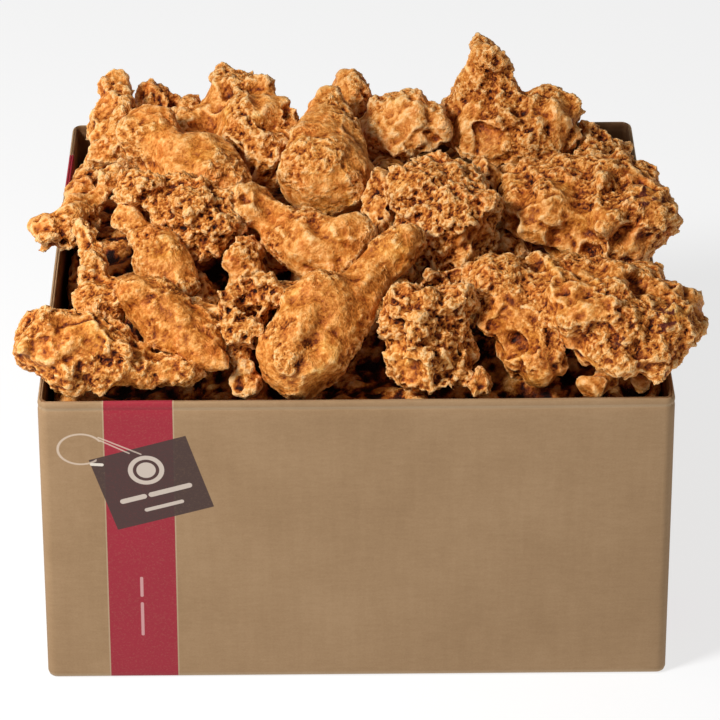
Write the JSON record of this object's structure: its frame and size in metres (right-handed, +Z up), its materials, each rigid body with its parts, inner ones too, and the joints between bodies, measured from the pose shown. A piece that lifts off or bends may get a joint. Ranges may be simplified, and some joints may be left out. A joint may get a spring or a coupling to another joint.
{
  "type": "box of fried chicken",
  "caption": "Open kraft board catering carton heaped over its rim with crisp, craggy golden fried chicken: drumsticks, thighs, wings and breast.",
  "frame": {"origin": "middle of the carton's flat underside", "axes": "+X to the right along the carton's long side, -Y towards the printed front, +Z up"},
  "size_m": [0.3928, 0.3094, 0.2895],
  "materials": {
    "carton_board": "matte brown kraft board with a crimson band and a dark printed tag",
    "crust": null,
    "deep_crust": null
  },
  "bodies": {
    "root": {"carton": "carton_board", "hidden_pieces": "deep_crust", "wing_front_left": "crust", "drumstick_front_left": "crust", "drumstick_front": "crust", "thigh_front": "crust", "curl_front": "crust", "breast_front_right": "crust", "drumette_left": "crust", "drumette_left_middle": "crust", "wing_far_left": "crust", "wing_under": "crust", "thigh_left": "crust", "wing_left": "crust", "wing_back_left": "crust", "curl_middle": "crust", "drumstick_middle": "crust", "knob_middle": "crust", "drumstick_back": "crust", "knob_back": "crust", "thigh_back_left": "crust", "tip_back_left": "crust", "wing_behind_left": "crust", "thigh_middle": "crust", "drumette_middle": "crust", "thigh_back": "crust", "thigh_right": "crust", "drumette_peak": "crust", "thigh_back_right": "crust", "wing_back_right": "crust", "knob_right": "crust", "knob_middle_right": "crust", "wing_middle_right": "crust", "wing_deep_right": "crust", "lump_front_right": "crust", "lump_corner_right": "crust", "crumb_front": "crust", "piece_deep_front": "crust", "piece_deep_left": "crust", "piece_deep_middle": "crust", "piece_deep_centre": "crust", "piece_deep_right": "crust", "drumette_back_left": "crust", "thigh_back_low_left": "crust", "wing_back_low": "crust", "thigh_back_low_right": "crust", "piece_corner_left": "crust", "piece_corner_right": "crust", "piece_side_right": "crust"}
  },
  "joints": []
}
